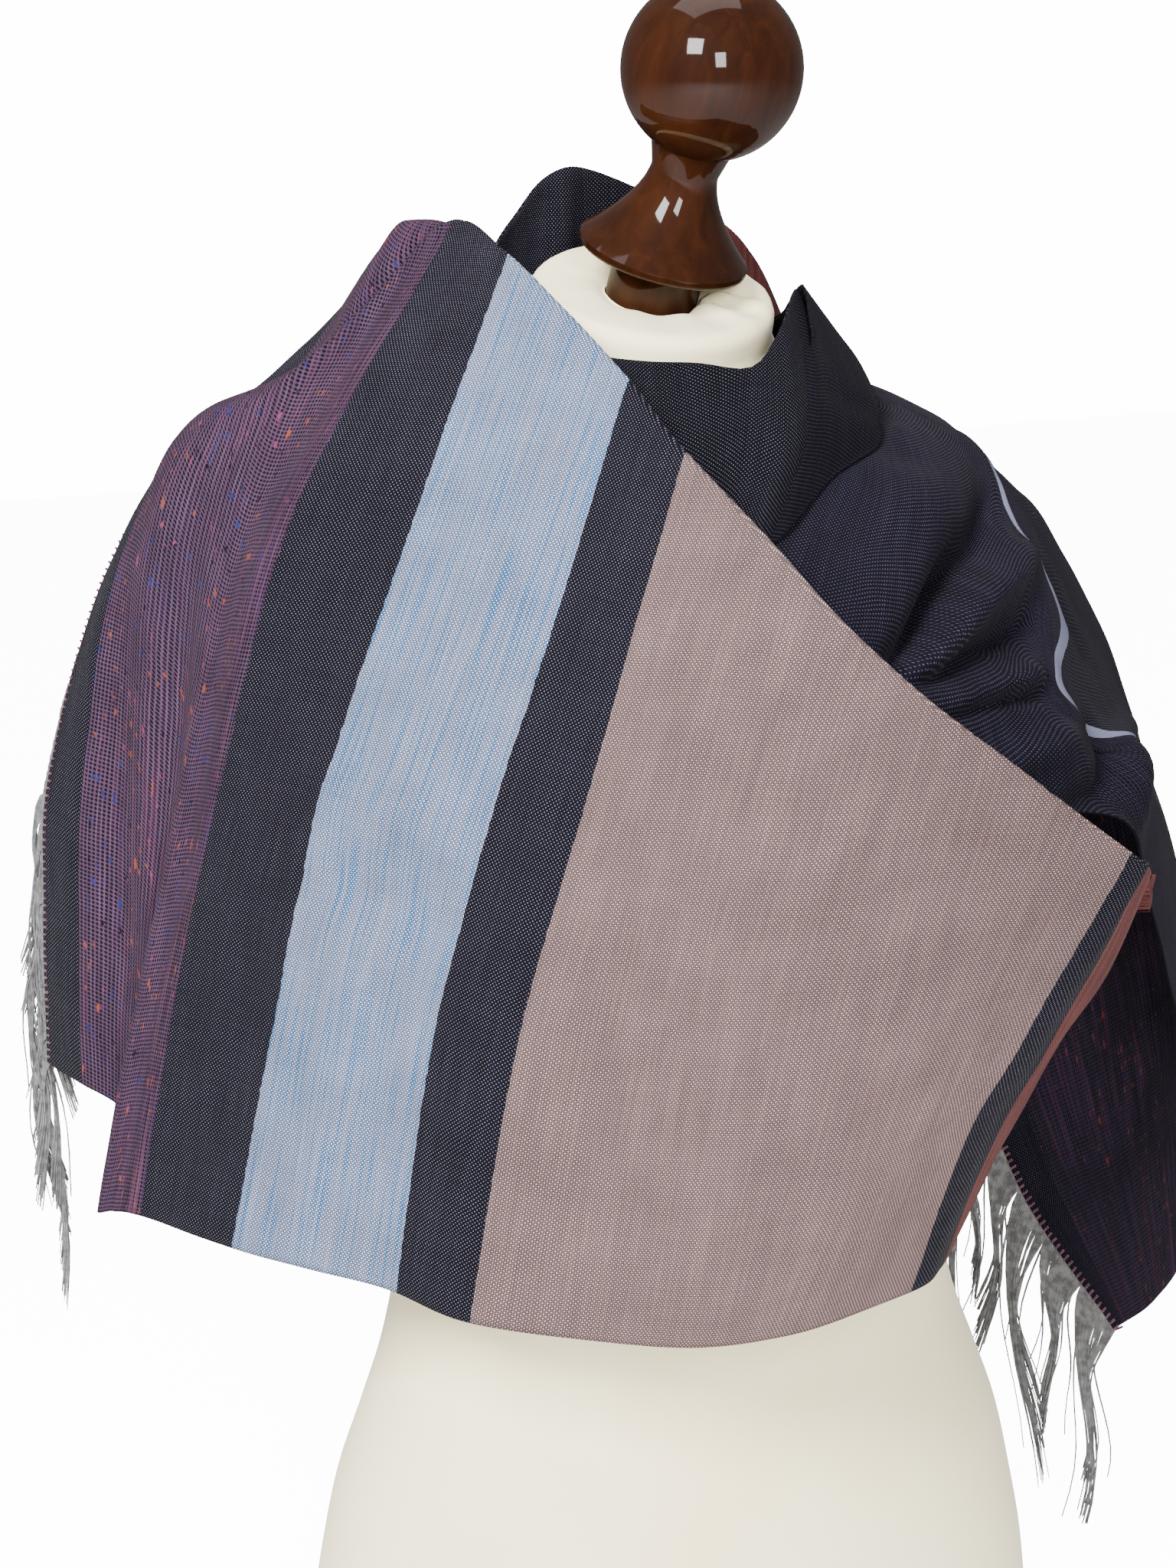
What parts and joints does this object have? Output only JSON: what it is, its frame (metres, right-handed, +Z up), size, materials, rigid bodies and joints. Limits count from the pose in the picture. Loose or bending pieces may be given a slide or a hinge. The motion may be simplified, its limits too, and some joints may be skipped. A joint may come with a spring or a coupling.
{
  "type": "fringed shawl on a limbless dress form",
  "caption": "Handwoven striped fringed shawl wound round the shoulders of a limbless dress form with a turned wooden neck finial; it stands on the form's flat base.",
  "frame": {"origin": "centre of the dress form's flat base", "axes": "+Z up, the form faces -Y, the wearer's left is +X"},
  "size_m": [0.5323, 0.395, 0.7963],
  "materials": {
    "shawl_purple": "handwoven wool, purple weft with coloured slubs on a light grey warp, matt",
    "shawl_front": "handwoven wool, rose-beige, sky blue and navy bands, slight sheen",
    "shawl_rust": "handwoven wool, navy and rust bands, matt",
    "shawl_navy": "handwoven wool, navy weft on a light grey warp, matt",
    "fringe": "loose grey warp yarns, matt",
    "form_jersey": "cream cotton jersey stretched over the form, matt",
    "finial_wood": "turned hardwood, dark red-brown gloss varnish"
  },
  "bodies": {
    "root": {"right_drop": "shawl_purple", "front_wrap": "shawl_front", "side_return": "shawl_rust", "back_wrap": "shawl_navy", "neck_wrap": "shawl_navy", "collar_fold": "shawl_navy", "left_drape": "shawl_purple", "fringe_first": "fringe", "fringe_second": "fringe", "form_body": "form_jersey", "finial": "finial_wood"}
  },
  "joints": []
}
